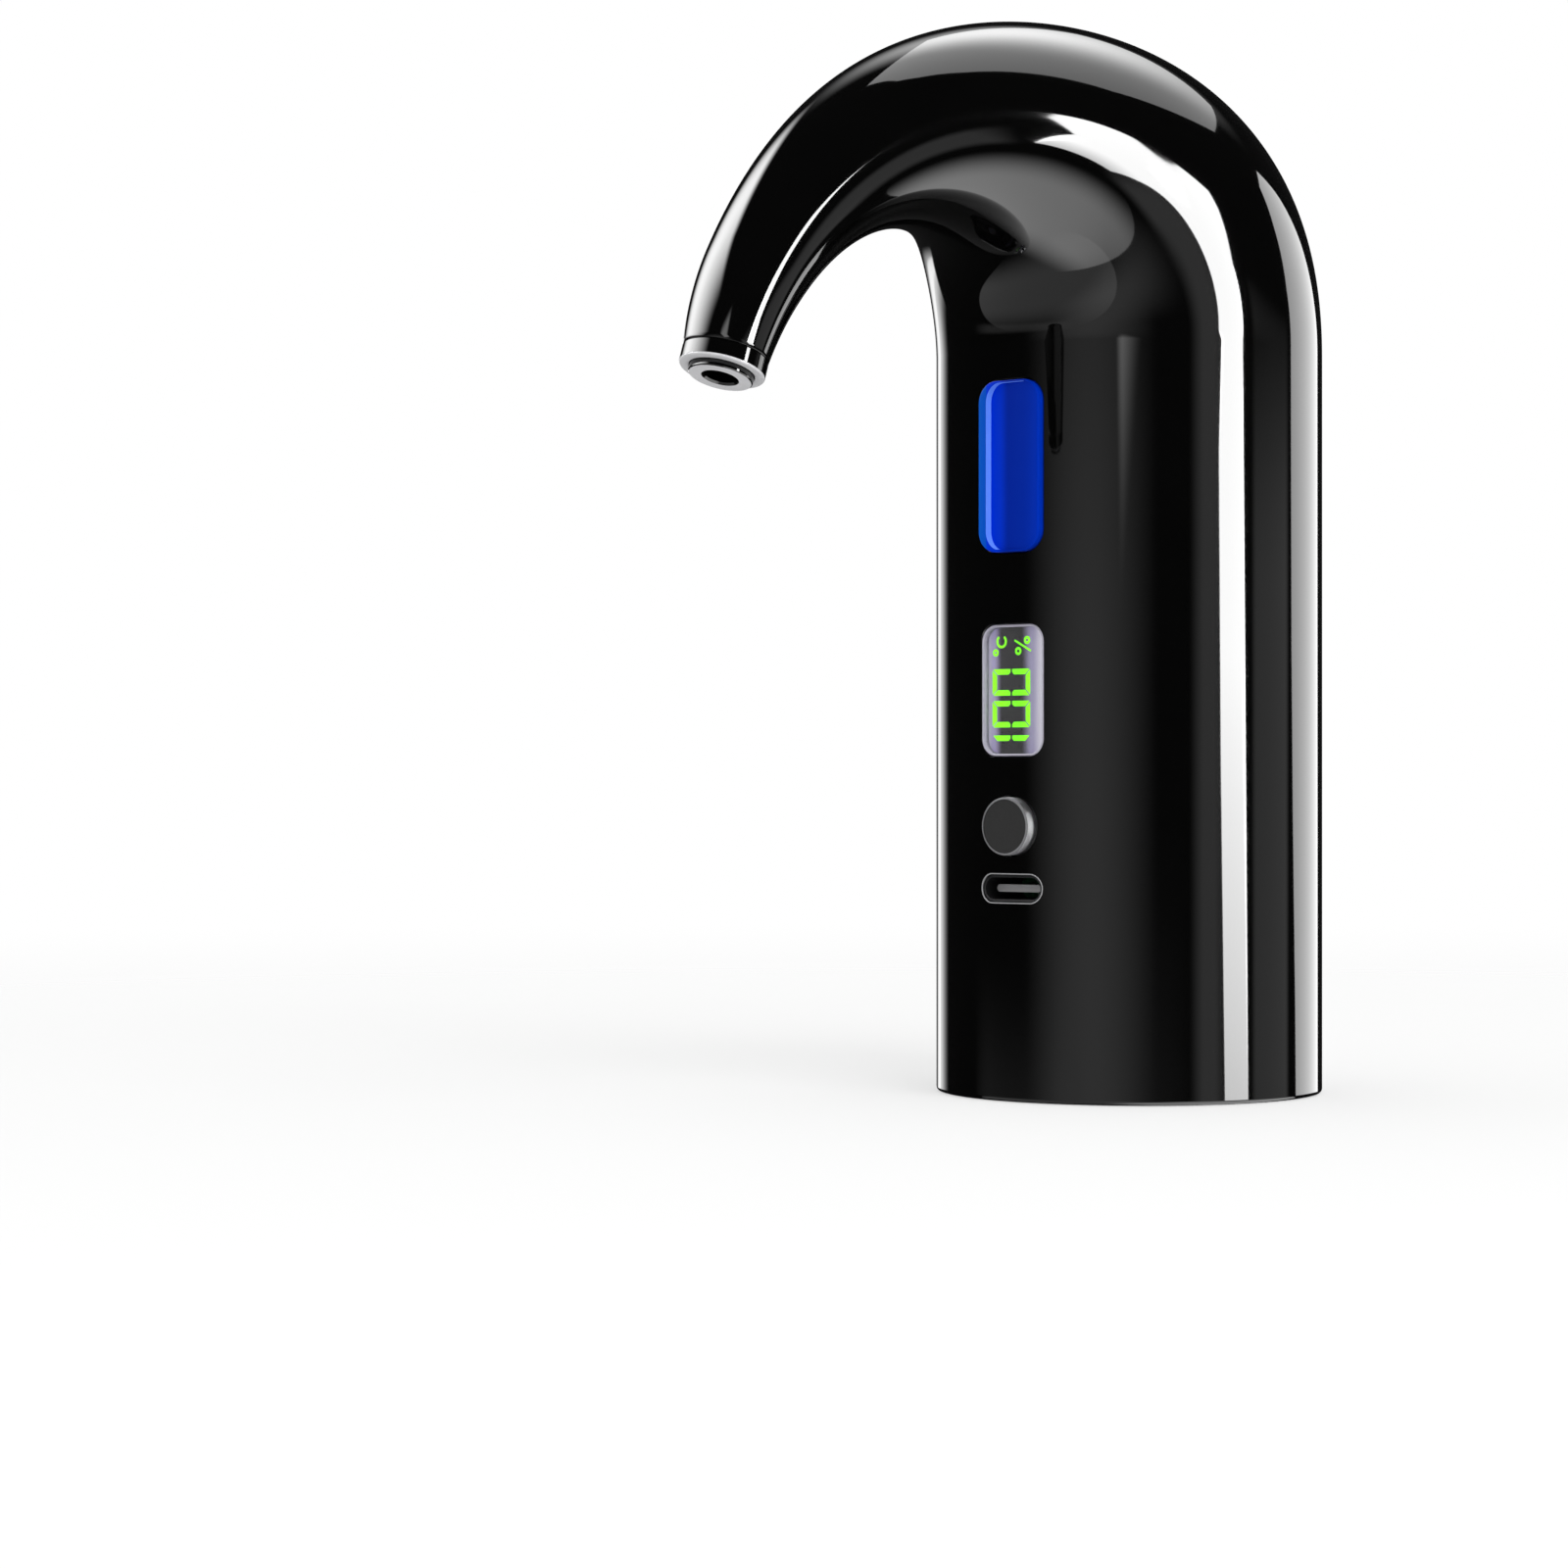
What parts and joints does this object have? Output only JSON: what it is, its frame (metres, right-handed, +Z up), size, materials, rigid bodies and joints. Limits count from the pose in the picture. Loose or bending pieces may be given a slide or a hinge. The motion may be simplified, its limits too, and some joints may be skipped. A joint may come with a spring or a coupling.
{
  "type": "electric wine dispenser",
  "caption": "Cane-shaped electric dispenser that stands on a bottle neck: gloss black body, curved tapering spout, blue pour button, small display and charging socket.",
  "frame": {"origin": "centre of the bottom rim, on the axis of the bottle neck", "axes": "+Z up along the body's axis, -Y forward to the spout and the controls, +X to the right hand of someone who faces the back"},
  "size_m": [0.0482, 0.1041, 0.1304],
  "materials": {
    "body_gloss": "piano black lacquer on ABS",
    "outlet_pale": "moulded pale grey ABS",
    "pour_blue": "moulded blue gloss",
    "mode_dark": "fine satin",
    "lens_clear": "clear polished",
    "display_grey": "backlit panel",
    "white_plastic": "moulded natural",
    "inner_plastic": "moulded black",
    "socket_metal": "drawn shell",
    "board_green": "solder mask",
    "screw_steel": "zinc plated",
    "stopper_silicone": "satin silicone",
    "seal_red": "satin silicone",
    "tube_steel": "drawn and polished",
    "hose_clear": "translucent silicone",
    "cell_wrap": "shrink-wrapped cell, density of a lithium cell",
    "motor_steel": "plated can",
    "magnet_dark": "sintered ferrite",
    "winding_copper": "enamelled wire",
    "crank_brass": "turned",
    "lead_red": "insulated wire",
    "lead_black": "insulated wire"
  },
  "bodies": {
    "dispenser_body": {"left_housing": "body_gloss", "right_housing": "body_gloss", "nozzle_ring": "body_gloss", "nozzle_insert": "outlet_pale", "valve_plate": "outlet_pale", "wobble_plate": "outlet_pale", "usb_tongue": "outlet_pale", "display_lens": "lens_clear", "display_panel": "display_grey", "display_frame": "white_plastic", "tube_cap": "white_plastic", "pour_switch": "inner_plastic", "mode_switch": "inner_plastic", "board_components": "inner_plastic", "base_collar": "inner_plastic", "chassis": "inner_plastic", "pump_head": "inner_plastic", "pump_case": "inner_plastic", "motor_endcap": "inner_plastic", "usb_socket": "socket_metal", "main_board": "board_green", "board_screws": "screw_steel", "base_screws": "screw_steel", "chassis_screws": "screw_steel", "bottle_stopper": "stopper_silicone", "pump_pad": "stopper_silicone", "battery_pad": "stopper_silicone", "pump_valves": "stopper_silicone", "pump_diaphragm": "stopper_silicone", "motor_sleeve": "stopper_silicone", "tube_seal": "seal_red", "dip_tube_outer": "tube_steel", "pour_hose": "hose_clear", "air_hose": "hose_clear", "battery_cell": "cell_wrap", "motor_can": "motor_steel", "motor_magnets": "magnet_dark", "temperature_sensor": "winding_copper", "battery_leads": "lead_red", "motor_leads": "lead_black"},
    "pour_button": {"pour_button": "pour_blue", "pour_plunger": "white_plastic"},
    "mode_button": {"mode_button": "mode_dark", "mode_plunger": "white_plastic"},
    "dip_tube_upper": {"dip_tube_upper": "tube_steel"},
    "dip_tube_middle": {"dip_tube_middle": "tube_steel"},
    "dip_tube_lower": {"dip_tube_lower": "tube_steel"},
    "dip_tube_inner": {"dip_tube_inner": "tube_steel", "dip_tube_foot": "white_plastic"},
    "pump_drive": {"motor_shaft": "motor_steel", "motor_rotor": "winding_copper", "drive_eccentric": "crank_brass"}
  },
  "joints": [
    {"name": "pour_button_press", "type": "slide", "parent": "dispenser_body", "child": "pour_button", "axis": [0, 1, 0], "range_m": [0, 0.0008], "stiffness_N_per_m": 900},
    {"name": "mode_button_press", "type": "slide", "parent": "dispenser_body", "child": "mode_button", "axis": [0, 1, 0], "range_m": [0, 0.0006], "stiffness_N_per_m": 900},
    {"name": "dip_tube_upper_slide", "type": "slide", "parent": "dispenser_body", "child": "dip_tube_upper", "axis": [0, 0, -1], "range_m": [0, 0.066]},
    {"name": "dip_tube_middle_slide", "type": "slide", "parent": "dip_tube_upper", "child": "dip_tube_middle", "axis": [0, 0, -1], "range_m": [0, 0.066]},
    {"name": "dip_tube_lower_slide", "type": "slide", "parent": "dip_tube_middle", "child": "dip_tube_lower", "axis": [0, 0, -1], "range_m": [0, 0.066]},
    {"name": "dip_tube_inner_slide", "type": "slide", "parent": "dip_tube_lower", "child": "dip_tube_inner", "axis": [0, 0, -1], "range_m": [0, 0.066]},
    {"name": "pump_drive_spin", "type": "hinge", "parent": "dispenser_body", "child": "pump_drive", "pos_m": [0.0082, 0.01135, 0.05], "axis": [0, 0, 1], "continuous": true}
  ]
}
